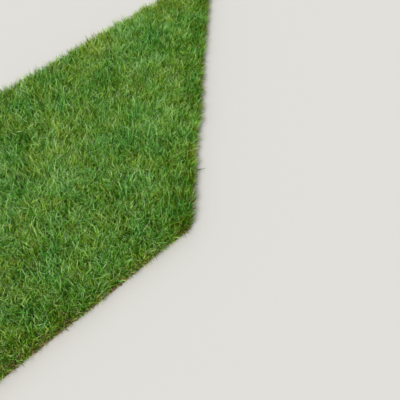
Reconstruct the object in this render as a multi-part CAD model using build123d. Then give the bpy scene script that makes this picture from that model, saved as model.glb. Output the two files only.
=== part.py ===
"""One strip of lawn turf as laid: a thin slab of soil bound by roots, and the grass that stands on it.

The frame: +X runs along the strip towards its mitred end, +Y from the short side to the long side
and +Z up. The origin is on the flat underside, at the centre of the strip's full rectangle.
"""

import os
from math import radians, sin, tan

from build123d import *

# The strip, in mm and degrees
STRIP_LENGTH = 1640  # along the long side, as sold
STRIP_WIDTH = 610
MITRE_ANGLE = 45  # between the long side and the cut at the end

# The soil mat
MAT_THICKNESS = 18
MAT_CORNER_RADIUS = 8  # where the corners of the cut soil have crumbled
MAT_ARRIS = 3  # worn off the edge round the underside
CUT_WAVE_LENGTH = 330
CUT_WAVE_SLOPE = 1.5  # how far the knife turned off a straight cut

# The grass
GRASS_HEIGHT = 37  # above the soil, at the crest of a swell
GRASS_OVERHANG = 12  # how far the blades spill over the cut soil
FRINGE_SETBACK = 4  # how far in from the cut the blades start to spill over
FRINGE_DROP = 9  # height of the hollow under the spilling blades
SHOULDER_RADIUS = 20  # where the blades bend down over the edge
LOCK_SPACING = 230  # the blades spill over in locks, with dips between them
LOCK_SLOPE = 6  # how sharply a lock swells out of the edge
SWELL_LENGTH = 340  # the top keeps gentle swells across the strip from lying rolled up
SWELL_SLOPE = 2.2

UNEVENNESS = 0.3  # how much one wave of an edge differs in length from the next


def mitre_x(y, grow):
    """X of the mitred cut at a given y, with the cut moved outwards by grow."""
    angle = radians(MITRE_ANGLE)
    return STRIP_LENGTH / 2 - (STRIP_WIDTH / 2 - y) / tan(angle) + grow / sin(angle)


def corners(grow):
    """The strip's four corners, anticlockwise from above, with every side moved outwards by grow."""
    square_end = -STRIP_LENGTH / 2 - grow
    short_side = -STRIP_WIDTH / 2 - grow
    long_side = STRIP_WIDTH / 2 + grow
    return [
        Vector(square_end, short_side),
        Vector(mitre_x(short_side, grow), short_side),
        Vector(mitre_x(long_side, grow), long_side),
        Vector(square_end, long_side),
    ]


def waves(start, end, spacing, slope):
    """Arcs that run smoothly into each other along a straight line, to one side of it and the other."""
    run = end - start
    pairs = max(1, round(run.length / spacing))
    shares = [1 + UNEVENNESS * sin(2.4 * number) for number in range(2 * pairs)]
    stops = [start + run * (sum(shares[: number + 1]) / sum(shares)) for number in range(2 * pairs)]
    heading = run.normalized().rotate(Axis.Z, -slope)
    arcs = []
    for here, there in zip([start] + stops, stops):
        arcs.append(TangentArc(here, there, tangent=heading))
        heading = arcs[-1] % 1
    return arcs


def outline(grow, spacing, slope, corner_radius):
    """The strip seen from above, with waves along each side and rounded corners."""
    ring = corners(grow)
    sides = [waves(a, b, spacing, slope) for a, b in zip(ring, ring[1:] + ring[:1])]
    face = make_face(Wire([arc for side in sides for arc in side]))
    at_corner = [v for v in face.vertices() if min((Vector(v) - c).length for c in ring) < 0.01]
    return fillet(at_corner, corner_radius)


def soil_mat():
    """The slab of root-bound soil, cut square at one end and mitred at the other."""
    slab = extrude(outline(0, CUT_WAVE_LENGTH, CUT_WAVE_SLOPE, MAT_CORNER_RADIUS), MAT_THICKNESS)
    underside = slab.faces().sort_by(Axis.Z)[0]
    return chamfer(underside.edges(), MAT_ARRIS)


def swells():
    """A slab wider than the strip, whose top rises and falls along it, with its crests at GRASS_HEIGHT."""
    reach = STRIP_LENGTH / 2 + 4 * GRASS_OVERHANG
    depth = STRIP_WIDTH + 8 * GRASS_OVERHANG
    longest_arc = SWELL_LENGTH / 2 * (1 + UNEVENNESS)
    middle = GRASS_HEIGHT - longest_arc / 2 * tan(radians(SWELL_SLOPE / 2))
    arcs = waves(Vector(-reach, middle), Vector(reach, middle), SWELL_LENGTH, SWELL_SLOPE)
    foot = Polyline((reach, middle), (reach, 0), (-reach, 0), (-reach, middle))
    profile = make_face(Wire([*arcs, *foot.edges()]))
    return Pos(0, depth / 2, MAT_THICKNESS) * extrude(Rot(90, 0, 0) * profile, depth)


def grass_sward():
    """The standing grass as one soft body: swells on top, round shoulders and an undercut fringe."""
    shoulder_radius = min(SHOULDER_RADIUS, 0.9 * (GRASS_HEIGHT - FRINGE_DROP))
    base = outline(GRASS_OVERHANG, LOCK_SPACING, LOCK_SLOPE, shoulder_radius + 1)
    block = Pos(0, 0, MAT_THICKNESS) * extrude(base, GRASS_HEIGHT)
    block = fillet(block.faces().sort_by(Axis.Z)[-1].edges(), shoulder_radius)
    foot = block.faces().sort_by(Axis.Z)[0]
    block = chamfer(foot.edges(), GRASS_OVERHANG + FRINGE_SETBACK, FRINGE_DROP, reference=foot)
    return block & swells()


os.makedirs("parts", exist_ok=True)
export_step(soil_mat(), "parts/soil_mat.step")
export_step(grass_sward(), "parts/grass_sward.step")
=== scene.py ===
"""A strip of lawn turf lying flat: blades, thatch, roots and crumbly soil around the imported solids.

Lengths are in metres, in the part's own frame: +X runs along the strip towards its mitred end, +Y from the
short side to the long side and +Z up, with the origin on the underside.
"""

import math

import bmesh
import bpy
import numpy as np
from mathutils import Euler, Matrix, Vector, geometry, noise


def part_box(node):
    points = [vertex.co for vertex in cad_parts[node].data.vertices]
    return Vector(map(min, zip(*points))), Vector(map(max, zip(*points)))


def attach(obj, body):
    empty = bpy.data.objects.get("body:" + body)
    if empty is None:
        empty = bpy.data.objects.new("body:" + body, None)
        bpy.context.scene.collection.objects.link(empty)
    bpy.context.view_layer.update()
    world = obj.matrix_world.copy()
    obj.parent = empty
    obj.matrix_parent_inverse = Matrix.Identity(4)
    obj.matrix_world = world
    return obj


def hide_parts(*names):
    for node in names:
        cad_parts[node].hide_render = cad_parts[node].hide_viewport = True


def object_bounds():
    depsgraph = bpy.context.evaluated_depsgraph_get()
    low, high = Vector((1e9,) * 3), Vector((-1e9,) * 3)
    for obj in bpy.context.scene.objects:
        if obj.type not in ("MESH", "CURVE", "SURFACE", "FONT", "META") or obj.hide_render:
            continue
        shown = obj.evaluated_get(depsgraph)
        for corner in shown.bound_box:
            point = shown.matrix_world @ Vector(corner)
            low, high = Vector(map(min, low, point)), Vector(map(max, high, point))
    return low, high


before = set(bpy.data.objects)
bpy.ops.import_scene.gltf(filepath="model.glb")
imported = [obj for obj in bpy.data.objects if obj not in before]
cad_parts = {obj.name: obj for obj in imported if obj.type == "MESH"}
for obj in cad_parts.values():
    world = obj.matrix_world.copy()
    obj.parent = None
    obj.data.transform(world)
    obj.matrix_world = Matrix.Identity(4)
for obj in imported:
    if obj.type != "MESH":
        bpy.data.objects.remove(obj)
cad_low, cad_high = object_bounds()
scene = bpy.context.scene
rng = np.random.default_rng(7)

MM = 0.001
SOIL_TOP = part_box("soil_mat")[1].z
GRASS_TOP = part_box("grass_sward")[1].z

# Random numbers and places

BUMP_RANGE = (0.7, 1.6)  # sizes of a soft noise's bumps, as shares of its size
GRID_JITTER = 0.4  # how far spaced spots stray, as a share of their step


def soft_noise(places, size, waves=24):
    """A smooth random field of about unit spread, with bumps about size across."""
    ways = rng.normal(size=(places.shape[1], waves))
    ways /= np.linalg.norm(ways, axis=0)
    pace = math.pi / (size * rng.uniform(*BUMP_RANGE, waves))
    phase = rng.uniform(0, 2 * math.pi, waves)
    return np.sin(places @ ways * pace + phase).sum(1) * math.sqrt(2 / waves)


def patches(spots, layers):
    """Soft noises added up. Each layer is how much it varies and how wide its patches are."""
    return sum(amount * soft_noise(spots, size) for amount, size in layers)


def varied(spread, size):
    """Random numbers about 0 that differ by about spread."""
    return spread * rng.normal(size=size)


def fade(distance, reach):
    """1 at no distance, and about a third at reach."""
    return np.exp(-distance / reach)


def edge_depth(spots, line, batch=4096):
    """How far inside the line each spot is, less than 0 outside, and the way out from there."""
    run = np.roll(line, -1, axis=0) - line
    depth = np.empty(len(spots))
    out = np.empty((len(spots), 2))
    for first in range(0, len(spots), batch):
        off = spots[first : first + batch, None] - line
        share = np.clip((off * run).sum(-1) / (run**2).sum(-1), 0, 1)
        gap = share[..., None] * run - off
        size = np.linalg.norm(gap, axis=-1)
        rows, near = np.arange(len(off)), size.argmin(1)
        turn = run[near, 0] * off[rows, near, 1] - run[near, 1] * off[rows, near, 0]
        sign = np.where(turn >= 0, 1, -1)
        depth[first : first + batch] = sign * size[rows, near]
        out[first : first + batch] = sign[:, None] * gap[rows, near] / size[rows, near, None]
    return depth, out


def scattered(count, line, least_depth):
    """Random spots at least that deep inside the line."""
    low, high = line.min(0), line.max(0)
    spots = np.empty((0, 2))
    while len(spots) < count:
        more = rng.uniform(low, high, (count, 2))
        spots = np.vstack([spots, more[edge_depth(more, line)[0] > least_depth]])
    return spots[:count]


def spaced(line, step, least_depth):
    """Spots about step apart, jittered off a grid, at least that deep inside the line."""
    low, high = line.min(0) - step, line.max(0) + step
    across, up = (np.arange(low[axis], high[axis], step) for axis in (0, 1))
    grid = np.stack(np.meshgrid(across, up), -1).reshape(-1, 2)
    grid += rng.uniform(-GRID_JITTER, GRID_JITTER, grid.shape) * step
    return grid[edge_depth(grid, line)[0] > least_depth]


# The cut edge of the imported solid

CORNER_DIGITS = 6  # decimals of a metre to which the corners that faces share are matched
UPWARD = 0.99  # least z of the normal of a face that looks up
CUT_STEP = 2.2 * MM  # spacing of points along the cut


def cut_line():
    """The soil mat's outline, anticlockwise from above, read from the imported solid's top face."""
    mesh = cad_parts["soil_mat"].data
    corners = [tuple(round(number, CORNER_DIGITS) for number in vertex.co) for vertex in mesh.vertices]
    edges = set()
    for face in mesh.polygons:
        if face.normal.z > UPWARD:
            ring = [corners[number] for number in face.vertices]
            edges.update(zip(ring, ring[1:] + ring[:1]))
    onward = {here: there for here, there in edges if (there, here) not in edges}
    line = [min(onward)]
    while len(line) < len(onward):
        line.append(onward[line[-1]])
    return np.array(line)[:, :2]


def resampled(line, step):
    """The closed line again, with points evenly spaced about step apart."""
    ring = np.vstack([line, line[:1]])
    travelled = np.concatenate([[0], np.cumsum(np.linalg.norm(np.diff(ring, axis=0), axis=1))])
    stops = np.linspace(0, travelled[-1], round(travelled[-1] / step), endpoint=False)
    return np.stack([np.interp(stops, travelled, ring[:, axis]) for axis in (0, 1)], 1)


# Meshes of triangles, and of blades

# Columns in the blades' map, each one colour. Living greens come first, from blue-green to yellow-green and
# each from dark to light, then straw, then brown.
HUES = 6
LIGHTS = 9
FIRST_STRAW = HUES * LIGHTS
FIRST_BROWN = 60
TINTS = 64
STRAWS = (FIRST_STRAW, FIRST_BROWN)  # the first column of straw, and the one after its last
COLUMN_MARGIN = 0.1  # on each side of a column, as a share of its width
MAP_MARGIN = 0.02  # at the map's foot and head

RUNG_WIDTHS = (0.75, 1.0)  # of a blade's width, from the root up, before its pointed tip
ROOT_TURN = 0.3  # how much of its push and twist a blade has at the root
LEAST_RISE = 1e-6  # stands in for the rise of a blade that only hangs down


def mesh_piece(name, points, faces, material, uv=None):
    """A mesh of triangles that rides on the part. uv has a place for each point."""
    mesh = bpy.data.meshes.new(name)
    mesh.vertices.add(len(points))
    mesh.vertices.foreach_set("co", np.ascontiguousarray(points, np.float32).ravel())
    mesh.loops.add(faces.size)
    mesh.loops.foreach_set("vertex_index", np.ascontiguousarray(faces, np.int32).ravel())
    mesh.polygons.add(len(faces))
    mesh.polygons.foreach_set("loop_start", np.arange(0, faces.size, 3, dtype=np.int32))
    if uv is not None:
        places = np.ascontiguousarray(uv[faces.ravel()], np.float32)
        mesh.uv_layers.new(name="OFBake").uv.foreach_set("vector", places.ravel())
    mesh.update(calc_edges=True)
    mesh.shade_smooth()
    mesh.materials.append(material)
    piece = bpy.data.objects.new(name, mesh)
    scene.collection.objects.link(piece)
    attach(piece, "root")
    return piece


def ribbons(root, heading, lean, bend, length, width, twist, push, most_rise):
    """Pointed blades: each leaves its root at lean from upright and bends on towards its heading.

    push carries a blade sideways on its way up, and no blade rises over its most_rise.
    Returns an array of (blade, point, 3), with two points a rung and one at the tip.
    """
    steps = len(RUNG_WIDTHS)
    side = np.stack([-np.sin(heading), np.cos(heading), 0 * heading], 1)
    place = root.copy()
    points = []
    for step, share in enumerate(RUNG_WIDTHS):
        along = (step + 0.5) / steps
        tilt = lean + bend * along
        way = np.stack([np.sin(tilt) * np.cos(heading), np.sin(tilt) * np.sin(heading), np.cos(tilt)], 1)
        way[:, :2] += push * (ROOT_TURN + along)
        way /= np.linalg.norm(way, axis=1, keepdims=True)
        turn = (twist * (ROOT_TURN + along))[:, None]
        across = side * np.cos(turn) + np.cross(way, side) * np.sin(turn)
        half = across * (width * share / 2)[:, None]
        points += [place - half, place + half]
        place = place + way * (length / steps)[:, None]
    points = np.stack([*points, place], 1)
    rise = (points[:, :, 2] - root[:, None, 2]).max(1)
    fit = np.minimum(1, most_rise / np.maximum(rise, LEAST_RISE))
    return root[:, None] + (points - root[:, None]) * fit[:, None, None]


def blades_piece(name, points, tint, material):
    """A piece of many blades. Blades of one tint share a column of the map, from root to tip."""
    count, each = points.shape[:2]
    steps = (each - 1) // 2
    across = np.array([COLUMN_MARGIN, 1 - COLUMN_MARGIN] * steps + [0.5])
    along = np.append(np.repeat(np.arange(steps) / steps, 2), 1)
    uv = np.empty((count, each, 2))
    uv[:, :, 0] = (tint[:, None] + across) / TINTS
    uv[:, :, 1] = MAP_MARGIN + (1 - 2 * MAP_MARGIN) * along
    faces = []
    for rung in range(0, 2 * steps - 2, 2):
        faces += [(rung, rung + 1, rung + 3), (rung, rung + 3, rung + 2)]
    faces.append((2 * steps - 2, 2 * steps - 1, 2 * steps))
    faces = (np.arange(count)[:, None, None] * each + np.array(faces)).reshape(-1, 3)
    return mesh_piece(name, points.reshape(-1, 3), faces, material, uv.reshape(-1, 2))


# Materials

# Red, green and blue, as in a photograph
FRESH_COLOURS = ((66, 171, 36), (114, 184, 4), (162, 194, 2))  # blue-green, green and yellow-green
PAINTED_HIGHLIGHT_COLOUR = (212, 240, 180)  # painted highlight on the tops of light leaves
SHEATH_COLOUR = (118, 136, 22)
DEAD_COLOURS = ((198, 182, 124), (168, 142, 90), (128, 88, 54))
SHEEN_COLOUR = (190, 230, 110)  # of the light that blades throw back
SOIL_COLOURS = ((92, 70, 52), (132, 106, 80), (170, 144, 112))
THREAD_COLOUR = (176, 150, 112)
STONE_COLOURS = ((120, 100, 78), (148, 130, 106), (172, 156, 130))
FLOOR_COLOUR = (226, 224, 219)

# Painted shade: what a leaf's colour is multiplied by, near its foot and below its middle, where the leaves
# around it shade it
DEEP_PAINTED_SHADE = (0.33, 0.33, 0.19, 1)
LOW_PAINTED_SHADE = (0.6, 0.6, 0.45, 1)

VEIN_PACE = 44.0  # radians of vein across a blade, which makes seven veins
VEIN_HEIGHT = 0.25
THREAD_WANDER = 0.02


def colour(red, green, blue):
    """A colour as a photograph's red, green and blue, 0 to 255, turned into Blender's numbers."""
    shares = [level / 255 for level in (red, green, blue)]
    return (*(s / 12.92 if s <= 0.04045 else ((s + 0.055) / 1.055) ** 2.4 for s in shares), 1)


def grey(level):
    return (level, level, level, 1)


def colour_stops(places, colours):
    """Stops for a ramp, at those places along it."""
    return [(place, colour(*rgb)) for place, rgb in zip(places, colours)]


def grey_stops(*pairs):
    """Stops for a ramp of greys, from pairs of a place and a level."""
    return [(place, grey(level)) for place, level in pairs]


class Look:
    """A material with one Principled shader, and short ways to add the nodes that feed it."""

    def __init__(self, name):
        self.material = bpy.data.materials.new(name)
        self.material.use_nodes = True
        self.tree = self.material.node_tree
        self.tree.nodes.clear()
        output = self.tree.nodes.new("ShaderNodeOutputMaterial")
        self.shader = self.tree.nodes.new("ShaderNodeBsdfPrincipled")
        self.tree.links.new(self.shader.outputs["BSDF"], output.inputs["Surface"])

    def feed(self, node, inputs):
        """Link each socket of a node to the output given for it, or set it to the plain value."""
        for socket, value in inputs.items():
            if isinstance(value, bpy.types.NodeSocket):
                self.tree.links.new(value, node.inputs[socket])
            else:
                node.inputs[socket].default_value = value

    def add(self, kind, inputs, **settings):
        node = self.tree.nodes.new("ShaderNode" + kind)
        for setting, value in settings.items():
            setattr(node, setting, value)
        self.feed(node, inputs)
        return node

    def maths(self, operation, first, second=0.0):
        return self.add("Math", {0: first, 1: second}, operation=operation).outputs[0]

    def mix(self, factor, first, second, blend="MIX"):
        """Two colours mixed. Of a Mix node's sockets, 6 and 7 take colours and 2 gives one."""
        inputs = {0: factor, 6: first, 7: second}
        return self.add("Mix", inputs, data_type="RGBA", blend_type=blend).outputs[2]

    def times(self, first, second):
        return self.mix(1.0, first, second, "MULTIPLY")

    def ramp(self, factor, stops):
        node = self.add("ValToRGB", {"Fac": factor})
        bar = node.color_ramp.elements
        while len(bar) < len(stops):
            bar.new(1)
        for element, (at, value) in zip(bar, stops):
            element.position = at
            element.color = value
        return node.outputs["Color"]

    def bump(self, height, strength, distance):
        inputs = {"Height": height, "Strength": strength, "Distance": distance}
        return self.add("Bump", inputs).outputs["Normal"]

    def finished(self, inputs):
        """The material, with those inputs on its shader."""
        self.feed(self.shader, inputs)
        return self.material


def living_colour(look, column, along):
    """A living leaf's colour, from its column in the map and from root to tip, with painted shade low down
    and a painted highlight on top.
    """
    hue_step = look.maths("FLOOR", look.maths("DIVIDE", column, LIGHTS))
    hue = look.maths("DIVIDE", hue_step, HUES - 1)
    light = look.maths("DIVIDE", look.maths("MODULO", column, LIGHTS), LIGHTS - 1)
    fresh = look.ramp(hue, colour_stops((0.0, 0.5, 1.0), FRESH_COLOURS))
    level = look.ramp(light, grey_stops((0.0, 0.34), (0.5, 1.2), (1.0, 2.2)))
    # painted shade down the lower part of a leaf, and painted light on its top
    lit = look.ramp(along, [(0.1, DEEP_PAINTED_SHADE), (0.4, LOW_PAINTED_SHADE), *grey_stops((0.75, 1.15), (1.0, 1.1))])
    body = look.times(look.times(fresh, level), lit)
    # painted highlight: light leaves turn a pale mint towards their tops
    painted_highlight = look.ramp(light, grey_stops((0.1, 0.0), (0.5, 0.2), (1.0, 1.0)))
    top = look.maths("MULTIPLY", look.ramp(along, grey_stops((0.3, 0.0), (0.8, 1.0))), painted_highlight)
    sheath = look.ramp(along, grey_stops((0.0, 0.85), (0.3, 0.1), (0.6, 0.0)))
    return look.mix(sheath, look.mix(top, body, colour(*PAINTED_HIGHLIGHT_COLOUR)), colour(*SHEATH_COLOUR))


def dead_colour(look, column):
    """A dead leaf's or root's colour, from its column in the map."""
    age = look.maths("DIVIDE", look.maths("SUBTRACT", column, FIRST_STRAW), TINTS - 1 - FIRST_STRAW)
    return look.ramp(age, colour_stops((0.0, 0.6, 1.0), DEAD_COLOURS))


def blade_material():
    """Grass and dead fibres: a tint per blade, painted shade low down, a painted highlight on top, an olive
    sheath, a midrib and fine veins.
    """
    look = Look("blade")
    place = look.add("SeparateXYZ", {0: look.add("UVMap", {}, uv_map="OFBake").outputs["UV"]})
    columns = look.maths("MULTIPLY", place.outputs["X"], TINTS)
    column = look.maths("FLOOR", columns)
    across = look.maths("FRACT", columns)
    along = place.outputs["Y"]
    living = living_colour(look, column, along)
    is_dead = look.maths("GREATER_THAN", column, FIRST_STRAW - 0.5)
    leaf = look.mix(is_dead, living, dead_colour(look, column))
    rib = look.maths("ABSOLUTE", look.maths("SUBTRACT", across, 0.5))
    shade = look.ramp(rib, grey_stops((0.0, 1.0), (0.07, 0.86), (0.4, 0.94), (0.5, 0.82)))
    veins = look.maths("COSINE", look.maths("MULTIPLY", across, VEIN_PACE))
    relief = look.maths("ADD", look.maths("MULTIPLY", veins, VEIN_HEIGHT), rib)
    return look.finished(
        {
            "Base Color": look.times(leaf, shade),
            "Normal": look.bump(relief, strength=0.35, distance=0.2 * MM),
            "Roughness": look.ramp(along, grey_stops((0.0, 0.75), (0.35, 0.45), (1.0, 0.55))),
            "Specular IOR Level": 0.25,
            "Specular Tint": colour(*SHEEN_COLOUR),
        }
    )


def root_threads(look, where):
    """A wandering net of threads, 1 on them and 0 between."""
    wander = look.add("TexNoise", {"Vector": where, "Scale": 160.0, "Detail": 2.0})
    aside = {0: wander.outputs["Color"], 1: (THREAD_WANDER, THREAD_WANDER, THREAD_WANDER)}
    astray = look.add("VectorMath", aside, operation="MULTIPLY")
    bent = look.add("VectorMath", {0: where, 1: astray.outputs[0]}, operation="ADD")
    inputs = {"Vector": bent.outputs[0], "Scale": 130.0}
    net = look.add("TexVoronoi", inputs, feature="DISTANCE_TO_EDGE")
    return look.ramp(net.outputs["Distance"], grey_stops((0.02, 1.0), (0.05, 0.0)))


def soil_material():
    """Damp crumbly soil: crumbs with painted shade in the darker hollows between them, paler dry grains and
    a net of root threads.
    """
    look = Look("soil")
    where = look.add("TexCoord", {}).outputs["Object"]
    broad = look.add("TexNoise", {"Vector": where, "Scale": 40.0, "Detail": 5.0, "Roughness": 0.65})
    crumbs = look.add("TexVoronoi", {"Vector": where, "Scale": 380.0, "Detail": 2.0, "Roughness": 0.6})
    grains = look.add("TexNoise", {"Vector": where, "Scale": 1000.0, "Detail": 4.0, "Roughness": 0.75})
    base = look.ramp(broad.outputs["Fac"], colour_stops((0.32, 0.5, 0.68), SOIL_COLOURS))
    # painted shade in the hollows between crumbs, and a little painted light on their tops
    dark = look.ramp(crumbs.outputs["Distance"], grey_stops((0.0, 1.15), (0.4, 0.85), (0.75, 0.35)))
    speck = look.ramp(grains.outputs["Fac"], grey_stops((0.35, 0.6), (0.55, 1.0), (0.7, 1.6)))
    earth = look.times(look.times(base, dark), speck)
    rooted = look.ramp(broad.outputs["Fac"], grey_stops((0.42, 0.0), (0.6, 0.75)))
    threads = look.maths("MULTIPLY", root_threads(look, where), rooted)
    crumble = look.maths("SUBTRACT", grains.outputs["Fac"], crumbs.outputs["Distance"])
    return look.finished(
        {
            "Base Color": look.mix(threads, earth, colour(*THREAD_COLOUR)),
            "Normal": look.bump(look.maths("ADD", crumble, threads), strength=0.9, distance=1.4 * MM),
            "Roughness": 0.95,
            "Specular IOR Level": 0.2,
        }
    )


def stone_material():
    """Small stones: pale grey to tan, with a little soil on them."""
    look = Look("stone")
    where = look.add("TexCoord", {}).outputs["Object"]
    broad = look.add("TexNoise", {"Vector": where, "Scale": 90.0, "Detail": 3.0})
    fine = look.add("TexNoise", {"Vector": where, "Scale": 1200.0, "Detail": 4.0})
    base = look.ramp(broad.outputs["Fac"], colour_stops((0.35, 0.5, 0.65), STONE_COLOURS))
    dusty = look.ramp(fine.outputs["Fac"], grey_stops((0.35, 0.72), (0.6, 1.0)))
    return look.finished(
        {
            "Base Color": look.times(base, dusty),
            "Normal": look.bump(fine.outputs["Fac"], strength=0.4, distance=0.4 * MM),
            "Roughness": 0.8,
        }
    )


def floor_material():
    look = Look("floor")
    return look.finished({"Base Color": colour(*FLOOR_COLOUR), "Roughness": 0.9, "Specular IOR Level": 0.1})


# Grass

# Plants, and the tillers that fan out from the middle of each
PLANT_SPACING = 8.4 * MM
PLANT_SPREAD = 4.5 * MM
PLANT_BREADTHS = (0.6, 0.8, 1.1, 1.3)  # fine-leaved plants stand among broad ones
TILLERS = 66000
TILLER_PLACES = 3 * TILLERS  # drawn at random, for the tillers' own to be picked from
INNER_CROWD = 0.5  # how thick tillers stand well inside the strip, against 1 at the cut
ROOT_INSET = 0.5 * MM  # how far in from the cut the outermost tillers and dead leaves start
ROOT_DEPTH = 2 * MM  # how far under the soil's top the living leaves start

# Leaves. Each tiller carries one of each age, from the youngest to the oldest
LEAF_NAMES = ("young_leaves", "second_leaves", "third_leaves", "old_leaves")
LEAF_LEAN = (3, 8, 24, 50)  # degrees off the tiller
LEAF_BEND = (46, 58, 62, 50)  # degrees more at the tip
LEAF_SHARE = (0.98, 1.08, 0.82, 0.56)  # of the full length
LEAF_LENGTH = 33 * MM
LEAF_WIDTH = 1.65 * MM
LEAN_RANGE = (0.5, 1.4)  # a leaf's own lean as a share of what its age has, and so on
BEND_RANGE = (0.2, 1.6)
LENGTH_RANGE = (0.75, 1.2)
WIDTH_RANGE = (0.7, 1.3)
HEADING_STRAY = 0.5  # radians off the line along which leaves point to one side and the other by turns
LEAF_TWIST = 0.9  # radians

# How the sward leans, as sideways steps for each step up
GROWTH_LEAN = np.array([0.16, 0.05])  # all of it, mostly towards the mitred end
PATCH_LEAN = 0.07
PATCH_LEAN_SIZE = 90 * MM
FAN_LEAN = 0.1  # outwards from the middle of the plant
TILLER_LEAN = 0.12
SPILL_LEAN = 0.34  # outwards at the cut
SPILL_RANGE = (0.3, 1.3)  # a tiller's own spill as a share of that
SPILL_REACH = 8 * MM  # how far in from the cut the leaves start to lean outwards

# How tall the grass stands
CANOPY_DIP = 8 * MM  # how far the lowest hollows lie under the highest tips
CANOPY_LEVEL = 0.5  # where the usual height lies between those two
CANOPY_PATCHES = ((0.3, 120 * MM), (0.15, 30 * MM))
STRENGTH_PATCHES = ((0.04, 60 * MM),)
PLANT_STRENGTH = 0.06  # how much plants and tillers differ in strength, which sets their leaves' length
TILLER_STRENGTH = 0.12
STRENGTH_LIMITS = (0.55, 1.4)
EDGE_STUNT = 0.25  # how much shorter the leaves are right at the cut

# Hue, from 0 for blue-green to 1 for yellow-green, and light, from 0 for dark to 1 for light. Both differ
# from patch to patch, from plant to plant, from tiller to tiller and from leaf to leaf.
MIDDLE_HUE = 0.46
HUE_PATCHES = ((0.1, 90 * MM), (0.08, 35 * MM))
PLANT_HUE = 0.24
TILLER_HUE = 0.06
LEAF_HUE = 0.07
MIDDLE_LIGHT = 0.56
LIGHT_PATCHES = ((0.04, 110 * MM),)
PLANT_LIGHT = 0.18
TILLER_LIGHT = 0.04
LEAF_LIGHT = 0.24
AGE_PAINTED_SHADE = 0.15  # painted shade: how much darker a leaf is drawn than the next younger one, as older leaves lie lower in the sward
EDGE_REACH = 5 * MM  # how far in from the cut the leaves are yellower and drier, and lighter, partly as paler drying leaves and partly as painted light against the shade at the cut
EDGE_HUE = 0.2
# lighter at the cut: partly paler drying leaves, partly painted light against the shade there
EDGE_LIGHT = 0.15

# Leaves that have turned to straw
STRAW_SHARE = (0.0, 0.006, 0.025, 0.09)  # of the leaves of each age
THIRST_PATCHES = ((1.2, 45 * MM),)  # how much more of them some patches have
MOST_THIRST = 3
EDGE_STRAW = 0.25  # share of straw that the cut adds

# How hue, painted light and painted shade change towards the sides and ends of the strip
LONG_SIDE_REACH = 60 * MM
LONG_SIDE_HUE = 0.22
LONG_SIDE_PAINTED_SHADE = 0.14
SHORT_SIDE_REACH = 58 * MM
SHORT_SIDE_PAINTED_SHADE = 0.16
MITRE_REACH = 22 * MM
MITRE_HUE = -0.12
MITRE_PAINTED_SHADE = 0.28
END_START = 0.1  # x from which the grass changes towards the square end
END_RUN = 0.5  # over which it does
END_PAINTED_LIGHT = 0.23
END_SHORT_SIDE_PAINTED_SHADE = 0.65
END_HUE = 0.25
END_HUE_REACH = 200 * MM  # in from the short side


def tiller_places(line):
    """The plants' middles, then each tiller's plant, its place off the middle, its depth and the way out."""
    centre = spaced(line, PLANT_SPACING, -PLANT_SPREAD)
    plant = rng.integers(0, len(centre), TILLER_PLACES)
    off = rng.normal(0, PLANT_SPREAD, (TILLER_PLACES, 2))
    depth, out = edge_depth(centre[plant] + off, line)
    crowd = INNER_CROWD + (1 - INNER_CROWD) * fade(depth, SPILL_REACH)
    picked = np.flatnonzero((depth > ROOT_INSET) & (rng.random(TILLER_PLACES) < crowd))[:TILLERS]
    return centre, plant[picked], off[picked], depth[picked], out[picked]


def tiller_push(centre, plant, off, depth, out):
    """How far sideways each tiller's leaves are carried for each step up."""
    ways = [soft_noise(centre, PATCH_LEAN_SIZE) + rng.normal(size=len(centre)) for _ in range(2)]
    drift = np.stack(ways, 1)[plant]
    spill = SPILL_LEAN * fade(depth, SPILL_REACH) * rng.uniform(*SPILL_RANGE, TILLERS)
    push = GROWTH_LEAN + PATCH_LEAN * drift + FAN_LEAN * off / PLANT_SPREAD
    push += varied(TILLER_LEAN, (TILLERS, 2))
    return push + spill[:, None] * out


def broad_hue_and_painted_light(spots):
    """How hue and light drift over the sward.

    It is yellower towards the square end and by the long side, and bluer by the mitre, whose line runs at 45
    degrees through the strip's tip. Painted light makes it lighter towards the square end, and painted shade
    makes it darker by the long side, by the short side and by the mitre.
    """
    toward_end = np.clip((END_START - spots[:, 0]) / END_RUN, 0, 1)
    from_short_side = spots[:, 1] - cad_low[1]
    from_long_side = cad_high[1] - spots[:, 1]
    from_mitre = (cad_high[0] - cad_high[1] - spots[:, 0] + spots[:, 1]) / math.sqrt(2)
    near_short_side = fade(from_short_side, SHORT_SIDE_REACH)
    near_long_side = fade(from_long_side, LONG_SIDE_REACH)
    near_mitre = fade(np.maximum(from_mitre, 0), MITRE_REACH)
    hue = LONG_SIDE_HUE * near_long_side + MITRE_HUE * near_mitre
    hue += END_HUE * toward_end * fade(from_short_side, END_HUE_REACH)
    # painted light towards the square end, and painted shade by both sides and by the mitre
    light = END_PAINTED_LIGHT * toward_end - LONG_SIDE_PAINTED_SHADE * near_long_side - MITRE_PAINTED_SHADE * near_mitre
    light -= (SHORT_SIDE_PAINTED_SHADE + END_SHORT_SIDE_PAINTED_SHADE * toward_end) * near_short_side
    return hue, light


def plant_traits(centre):
    """Each plant's hue, light, strength, thirst and breadth of leaf."""
    plants = len(centre)
    hue, light = broad_hue_and_painted_light(centre)
    hue += MIDDLE_HUE + patches(centre, HUE_PATCHES) + varied(PLANT_HUE, plants)
    light += MIDDLE_LIGHT + patches(centre, LIGHT_PATCHES) + varied(PLANT_LIGHT, plants)
    strength = 1 + patches(centre, STRENGTH_PATCHES) + varied(PLANT_STRENGTH, plants)
    thirst = np.clip(1 + patches(centre, THIRST_PATCHES), 0, MOST_THIRST)
    breadth = rng.choice(PLANT_BREADTHS, plants)
    return hue, light, strength, thirst, breadth


def canopy(spots):
    """How high over the soil the tips may reach at each spot."""
    level = CANOPY_LEVEL + patches(spots, CANOPY_PATCHES)
    return GRASS_TOP - SOIL_TOP - CANOPY_DIP * (1 - np.clip(level, 0, 1))


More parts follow.
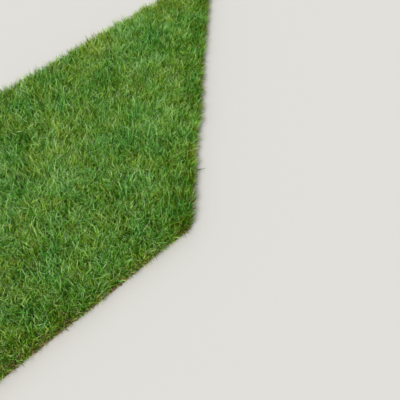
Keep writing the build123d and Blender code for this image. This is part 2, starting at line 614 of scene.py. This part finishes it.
def leaf_tints(age, hue, light, straw_share):
    """The column of the map for each tiller's leaf of that age."""
    hue = hue + varied(LEAF_HUE, TILLERS)
    # older leaves are drawn darker, a painted shade for their place low in the sward
    light = light + varied(LEAF_LIGHT, TILLERS) - AGE_PAINTED_SHADE * age
    hue_step = np.clip(hue * HUES, 0, HUES - 1).astype(int)
    light_step = np.clip(light * LIGHTS, 0, LIGHTS - 1).astype(int)
    tint = hue_step * LIGHTS + light_step
    straw = rng.random(TILLERS) < straw_share
    tint[straw] = rng.integers(*STRAWS, straw.sum())
    return tint


def grass(line, material):
    """The living leaves, one piece for each age of leaf."""
    centre, plant, off, depth, out = tiller_places(line)
    spots = centre[plant] + off
    root = np.column_stack([spots, np.full(TILLERS, SOIL_TOP - ROOT_DEPTH)])
    facing = rng.uniform(0, 2 * math.pi, TILLERS)
    push = tiller_push(centre, plant, off, depth, out)
    hue, light, strength, thirst, breadth = (trait[plant] for trait in plant_traits(centre))
    vigour = np.clip(strength + varied(TILLER_STRENGTH, TILLERS), *STRENGTH_LIMITS)
    vigour *= 1 - EDGE_STUNT * fade(depth, SPILL_REACH)
    most_rise = canopy(spots) + ROOT_DEPTH
    at_edge = fade(depth, EDGE_REACH)
    tiller_hue = hue + EDGE_HUE * at_edge + varied(TILLER_HUE, TILLERS)
    # partly painted light at the cut
    tiller_light = light + EDGE_LIGHT * at_edge + varied(TILLER_LIGHT, TILLERS)

    for age, name in enumerate(LEAF_NAMES):
        heading = facing + age * math.pi + rng.normal(0, HEADING_STRAY, TILLERS)
        lean = np.radians(LEAF_LEAN[age]) * rng.uniform(*LEAN_RANGE, TILLERS)
        bend = np.radians(LEAF_BEND[age]) * rng.uniform(*BEND_RANGE, TILLERS)
        length = LEAF_LENGTH * LEAF_SHARE[age] * vigour * rng.uniform(*LENGTH_RANGE, TILLERS)
        width = LEAF_WIDTH * breadth * rng.uniform(*WIDTH_RANGE, TILLERS)
        twist = rng.normal(0, LEAF_TWIST, TILLERS)
        points = ribbons(root, heading, lean, bend, length, width, twist, push, most_rise)
        straw_share = STRAW_SHARE[age] * thirst + EDGE_STRAW * at_edge
        tint = leaf_tints(age, tiller_hue, tiller_light, straw_share)
        blades_piece(name, points, tint, material)
    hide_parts("grass_sward")


# Dead leaves and roots, with leans and bends in degrees

FIBRE_TWIST = 1.2  # radians

# On the soil
THATCH_FIBRES = 14000
THATCH_HEIGHT = (-1 * MM, 3 * MM)  # of a fibre's foot over the soil
THATCH_LEAN = (55, 88)
THATCH_BEND = (-10, 25)
THATCH_LENGTH = (12 * MM, 34 * MM)
THATCH_WIDTH = (0.7 * MM, 1.7 * MM)
THATCH_RISE = 12 * MM  # most that a fibre rises over its foot
THATCH_TINTS = (FIRST_STRAW - 4, FIRST_BROWN + 2)  # from light yellow-greens to the paler browns

# Out of the cut: sheaths and dead leaves near its top, and roots lower down
CUT_FIBRES = 8000
CUT_ROOT_SHARE = 0.4
FOOT_INSET = (0, 2 * MM)  # of a fibre's foot from the cut
CUT_ROOT_DROP = 10 * MM  # usual distance of the foot under the soil's top
CUT_ROOT_STRAY = 1.1  # radians off straight outwards
CUT_ROOT_LEAN = (80, 160)
CUT_ROOT_WIDTH = (0.25 * MM, 0.5 * MM)
SHEATH_DROP = 3.5 * MM
SHEATH_STRAY = 0.8
SHEATH_LEAN = (35, 100)
SHEATH_WIDTH = (0.4 * MM, 1.3 * MM)
SHEATH_TINTS = (FIRST_STRAW - 2, FIRST_BROWN)
CUT_BEND = (0, 60)
CUT_LENGTH = (3 * MM, 11 * MM)
CUT_RISE = 10 * MM
LOWEST_FOOT = 2 * MM
LOWEST_FIBRE = 0.3 * MM

# Under the strip
UNDER_ROOTS = 4500
UNDER_INSET = 6 * MM  # of a root's foot from the cut
UNDER_MARGIN = 3 * MM  # of the whole root from the cut
UNDER_HEIGHT = 0.5 * MM
UNDER_LEAN = (84, 94)
UNDER_BEND = (-8, 8)
UNDER_LENGTH = (12 * MM, 38 * MM)
UNDER_WIDTH = (0.4 * MM, 0.9 * MM)
UNDER_WANDER = 0.5
UNDER_RISE = 1 * MM
UNDER_LIMITS = (0.15 * MM, 1.2 * MM)  # lowest and highest point of any root
UNDER_TINTS = (FIRST_STRAW, FIRST_BROWN + 2)


def thatch(line, material):
    """Short dead leaves and sheaths that lie on the soil between the tillers."""
    count = THATCH_FIBRES
    spots = scattered(count, line, ROOT_INSET)
    root = np.column_stack([spots, SOIL_TOP + rng.uniform(*THATCH_HEIGHT, count)])
    heading = rng.uniform(0, 2 * math.pi, count)
    lean = np.radians(rng.uniform(*THATCH_LEAN, count))
    bend = np.radians(rng.uniform(*THATCH_BEND, count))
    length = rng.uniform(*THATCH_LENGTH, count)
    width = rng.uniform(*THATCH_WIDTH, count)
    twist = rng.normal(0, FIBRE_TWIST, count)
    push = np.zeros((count, 2))
    points = ribbons(root, heading, lean, bend, length, width, twist, push, np.full(count, THATCH_RISE))
    tint = rng.integers(*THATCH_TINTS, count)
    blades_piece("thatch", points, tint, material)


def either(is_root, root_range, sheath_range):
    """A random number for each fibre, from one range for roots and from the other for sheaths."""
    count = len(is_root)
    return np.where(is_root, rng.uniform(*root_range, count), rng.uniform(*sheath_range, count))


def cut_fibres(line, material):
    """Cut sheaths, dead leaves and roots that bristle out of the cut soil."""
    count = CUT_FIBRES
    ring = resampled(line, CUT_STEP)
    pick = rng.integers(0, len(ring), count)
    ahead = np.roll(ring, -1, axis=0)[pick] - ring[pick]
    spots = ring[pick] + ahead * rng.random((count, 1))
    outwards = np.arctan2(-ahead[:, 0], ahead[:, 1])
    spots -= np.stack([np.cos(outwards), np.sin(outwards)], 1) * rng.uniform(*FOOT_INSET, (count, 1))
    is_root = rng.random(count) < CUT_ROOT_SHARE
    drop = np.abs(rng.normal(0, np.where(is_root, CUT_ROOT_DROP, SHEATH_DROP)))
    root = np.column_stack([spots, np.maximum(SOIL_TOP - drop, LOWEST_FOOT)])
    heading = outwards + rng.normal(0, np.where(is_root, CUT_ROOT_STRAY, SHEATH_STRAY))
    lean = np.radians(either(is_root, CUT_ROOT_LEAN, SHEATH_LEAN))
    bend = np.radians(rng.uniform(*CUT_BEND, count))
    length = rng.uniform(*CUT_LENGTH, count)
    width = either(is_root, CUT_ROOT_WIDTH, SHEATH_WIDTH)
    twist = rng.normal(0, FIBRE_TWIST, count)
    push = np.zeros((count, 2))
    points = ribbons(root, heading, lean, bend, length, width, twist, push, np.full(count, CUT_RISE))
    points[:, :, 2] = np.maximum(points[:, :, 2], LOWEST_FIBRE)
    tint = rng.integers(*SHEATH_TINTS, count)
    tint[is_root] = rng.integers(*STRAWS, is_root.sum())
    blades_piece("cut_fibres", points, tint, material)


def underside_roots(line, material):
    """Fine roots sheared off flat by the harvester, matted across the underside."""
    count = UNDER_ROOTS
    spots = scattered(count, line, UNDER_INSET)
    root = np.column_stack([spots, np.full(count, UNDER_HEIGHT)])
    heading = rng.uniform(0, 2 * math.pi, count)
    lean = np.radians(rng.uniform(*UNDER_LEAN, count))
    bend = np.radians(rng.uniform(*UNDER_BEND, count))
    length = rng.uniform(*UNDER_LENGTH, count)
    width = rng.uniform(*UNDER_WIDTH, count)
    push = rng.normal(0, UNDER_WANDER, (count, 2))
    twist = np.zeros(count)
    points = ribbons(root, heading, lean, bend, length, width, twist, push, np.full(count, UNDER_RISE))
    points[:, :, 2] = np.clip(points[:, :, 2], *UNDER_LIMITS)
    depth = edge_depth(points.reshape(-1, 3)[:, :2], line)[0].reshape(points.shape[:2])
    inside = depth.min(1) > UNDER_MARGIN
    tint = rng.integers(*UNDER_TINTS, inside.sum())
    blades_piece("underside_roots", points[inside], tint, material)


# Soil

CUT_ROWS = 9
ARRIS = 3 * MM  # worn off the edge round the underside
CRUMBS = ((3.2 * MM, 9 * MM), (1.8 * MM, 4 * MM))  # how far crumbs stand out of the cut, and their size
CRUMB_SETBACK = 3.4 * MM  # of the cracks between them, in from the cut
GRID_STEP = 10 * MM  # spacing of points inside the two flat faces
TOP_RELIEF = 0.7 * MM
TOP_LUMP = 9 * MM
UNDER_LIFT = 0.8 * MM  # least height of the underside inside its edge
HOLLOW_DEPTH = 1.2 * MM  # how much higher it is in its hollows
HOLLOW_SIZE = 22 * MM
HOLLOW_PATCH = 30 * MM  # some patches of that size have deeper hollows than others
HOLLOW_SHARE = 0.5  # of the full depth, halfway between the deepest patches and the flat ones
ONLY_INSIDE = 1  # the kind of triangulation that keeps to the inside of its outline
SAME_PLACE = 1e-7  # points this near count as one


def lumps(points, size):
    """Crumbs: rounded lumps about size across, from 0 in the cracks to 1 on top."""
    nearest = [noise.voronoi(Vector(point) / size)[0][0] for point in points]
    return 1 - np.clip(np.array(nearest), 0, 1)


def cut_sides(ring):
    """Rows of points down the crumbly cut, from the top to the worn lower edge, and faces between them."""
    ahead = np.roll(ring, -1, axis=0) - np.roll(ring, 1, axis=0)
    out = np.stack([ahead[:, 1], -ahead[:, 0]], 1) / np.linalg.norm(ahead, axis=1, keepdims=True)
    count = len(ring)
    rows = []
    for row in range(CUT_ROWS + 1):
        height = SOIL_TOP * (1 - row / CUT_ROWS)
        inset = max(0, ARRIS - height)
        points = np.column_stack([ring - out * inset, np.full(count, height)])
        crumble = sum(amount * lumps(points, size) for amount, size in CRUMBS) - CRUMB_SETBACK
        points[:, :2] += out * crumble[:, None]
        rows.append(points)

    here = np.arange(count)
    there = (here + 1) % count
    faces = []
    for row in range(CUT_ROWS):
        upper, lower = row * count, (row + 1) * count
        faces.append(np.stack([upper + here, lower + here, lower + there], 1))
        faces.append(np.stack([upper + here, lower + there, upper + there], 1))
    return np.vstack(rows), np.vstack(faces)


def triangles_over(ring, grid):
    """Triangles that join the closed ring and the spots inside it, by their numbers in that order."""
    flat = [Vector(spot) for spot in np.vstack([ring, grid])]
    loop = [(number, (number + 1) % len(ring)) for number in range(len(ring))]
    return np.array(geometry.delaunay_2d_cdt(flat, loop, [], ONLY_INSIDE, SAME_PLACE)[2])


def soil(line, material):
    """The root-bound slab: crumbly cut sides, a gently lumpy top and a slightly hollow underside."""
    ring = resampled(line, CUT_STEP)
    side, walls = cut_sides(ring)
    grid = spaced(line, GRID_STEP, 2 * ARRIS)
    cover = triangles_over(ring, grid)
    top = np.column_stack([grid, SOIL_TOP + TOP_RELIEF * soft_noise(grid, TOP_LUMP)])
    bottom = np.column_stack([grid, np.zeros(len(grid))])
    share = np.clip(HOLLOW_SHARE + soft_noise(grid, HOLLOW_PATCH), 0, 1)
    bottom[:, 2] = UNDER_LIFT + HOLLOW_DEPTH * share * lumps(bottom, HOLLOW_SIZE)

    around = np.arange(len(ring))
    inner = len(side) + np.arange(len(grid))
    top_number = np.concatenate([around, inner])
    bottom_number = np.concatenate([CUT_ROWS * len(ring) + around, len(grid) + inner])
    faces = np.vstack([walls, top_number[cover], bottom_number[cover][:, ::-1]])
    piece = mesh_piece("soil_slab", np.vstack([side, top, bottom]), faces, material)
    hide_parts("soil_mat")


# Stones

STONES = 380
SIDE_STONES = STONES // 3
STONE_INSET = 8 * MM  # from the cut, for those on the underside
STONE_LIFT = 0.1 * MM
STONE_RADIUS = (1.2 * MM, 3.0 * MM)
STONE_BREADTH = (0.6, 1)  # of its length
STONE_HEIGHT = (0.5, 0.9)
STONE_TURN = (0, 6.3)  # radians about each axis
BUMP_HEIGHT = 0.18  # bumps on a stone, as shares of its radius
BUMP_SIZE = 1.1
BUMP_WAVES = 8


def unit_ball():
    """The corners and faces of a ball of radius 1."""
    ball = bmesh.new()
    bmesh.ops.create_icosphere(ball, subdivisions=2, radius=1)
    corners = np.array([vertex.co[:] for vertex in ball.verts])
    faces = np.array([[vertex.index for vertex in face.verts] for face in ball.faces])
    ball.free()
    return corners, faces


def stones(line, material):
    """Small stones bedded in the cut sides and the underside."""
    corners, faces = unit_ball()
    ring = resampled(line, CUT_STEP)
    at_side = ring[rng.integers(0, len(ring), SIDE_STONES)]
    below = scattered(STONES - SIDE_STONES, line, STONE_INSET)
    points = []
    for number, spot in enumerate(np.vstack([at_side, below])):
        longest = rng.uniform(*STONE_RADIUS)
        radius = longest * np.array([1, rng.uniform(*STONE_BREADTH), rng.uniform(*STONE_HEIGHT)])
        turn = Euler(rng.uniform(*STONE_TURN, 3)).to_matrix()
        bumps = 1 + BUMP_HEIGHT * soft_noise(corners, BUMP_SIZE, BUMP_WAVES)
        stone = (corners * bumps[:, None] * radius) @ np.array(turn)
        reach = np.abs(stone).max(0)[2]
        height = rng.uniform(reach, SOIL_TOP - reach) if number < SIDE_STONES else reach + STONE_LIFT
        points.append(stone + [*spot, height])
    numbers = np.arange(STONES)[:, None, None] * len(corners) + faces
    mesh_piece("stones", np.vstack(points), numbers.reshape(-1, 3), material)


# Camera, floor and light

CAMERA_PLACE = (-0.082, -0.702, 0.98)
CAMERA_AZIMUTH = 50.7  # degrees of its gaze from +X towards +Y
CAMERA_DIP = 59.9  # degrees below the horizon
CAMERA_ROLL = -2.8  # degrees
CAMERA_LENS = 44.5  # mm, as Blender has it
CAMERA_SENSOR = 36  # mm
CAMERA_NEAREST = 10 * MM
FLOOR_REACH = 12  # each way
SKY_STRENGTH = 0.42
SUN_STRENGTH = 2.2
SUN_BREADTH = 20  # degrees
SUN_TURN = (35, 0, -60)  # degrees about X, Y and Z, from straight down


def add_camera():
    camera = bpy.data.objects.new("camera", bpy.data.cameras.new("camera"))
    camera.data.lens = CAMERA_LENS
    camera.data.sensor_width = CAMERA_SENSOR
    camera.data.clip_start = CAMERA_NEAREST
    gaze = Euler((math.radians(90 - CAMERA_DIP), 0, math.radians(CAMERA_AZIMUTH - 90))).to_matrix()
    camera.rotation_euler = (gaze @ Matrix.Rotation(math.radians(CAMERA_ROLL), 3, "Z")).to_euler()
    camera.location = CAMERA_PLACE
    scene.collection.objects.link(camera)
    scene.camera = camera


def add_floor():
    """A plain pale floor."""
    mesh = bpy.data.meshes.new("floor")
    ends = (-FLOOR_REACH, FLOOR_REACH)
    mesh.from_pydata([(x, y, 0) for y in ends for x in ends], [], [(0, 1, 3, 2)])
    mesh.materials.append(floor_material())
    floor = bpy.data.objects.new("floor", mesh)
    scene.collection.objects.link(floor)


def add_sky():
    """Soft light from all round, behind a backdrop that shows to the camera and in reflections."""
    world = bpy.data.worlds.new("world")
    world.use_nodes = True
    scene.world = world
    tree = world.node_tree
    light = tree.nodes["Background"]
    light.inputs["Color"].default_value = grey(1)
    light.inputs["Strength"].default_value = SKY_STRENGTH
    backdrop = tree.nodes.new("ShaderNodeBackground")
    backdrop.inputs["Color"].default_value = colour(*FLOOR_COLOUR)
    path = tree.nodes.new("ShaderNodeLightPath")
    seen = path.outputs["Is Camera Ray"]
    for ray in ("Is Glossy Ray", "Is Transmission Ray"):
        most = tree.nodes.new("ShaderNodeMath")
        most.operation = "MAXIMUM"
        tree.links.new(seen, most.inputs[0])
        tree.links.new(path.outputs[ray], most.inputs[1])
        seen = most.outputs[0]
    shown = tree.nodes.new("ShaderNodeMixShader")
    tree.links.new(seen, shown.inputs["Fac"])
    tree.links.new(light.outputs[0], shown.inputs[1])
    tree.links.new(backdrop.outputs[0], shown.inputs[2])
    tree.links.new(shown.outputs[0], tree.nodes["World Output"].inputs["Surface"])


def add_sun():
    """A broad sun from over the square end."""
    sun = bpy.data.objects.new("sun", bpy.data.lights.new("sun", "SUN"))
    sun.data.energy = SUN_STRENGTH
    sun.data.angle = math.radians(SUN_BREADTH)
    sun.rotation_euler = Euler([math.radians(angle) for angle in SUN_TURN])
    scene.collection.objects.link(sun)


scene.view_settings.view_transform = "Standard"
outline = cut_line()
blade = blade_material()
soil(outline, soil_material())
stones(outline, stone_material())
grass(outline, blade)
thatch(outline, blade)
cut_fibres(outline, blade)
underside_roots(outline, blade)
add_camera()
add_floor()
add_sky()
add_sun()
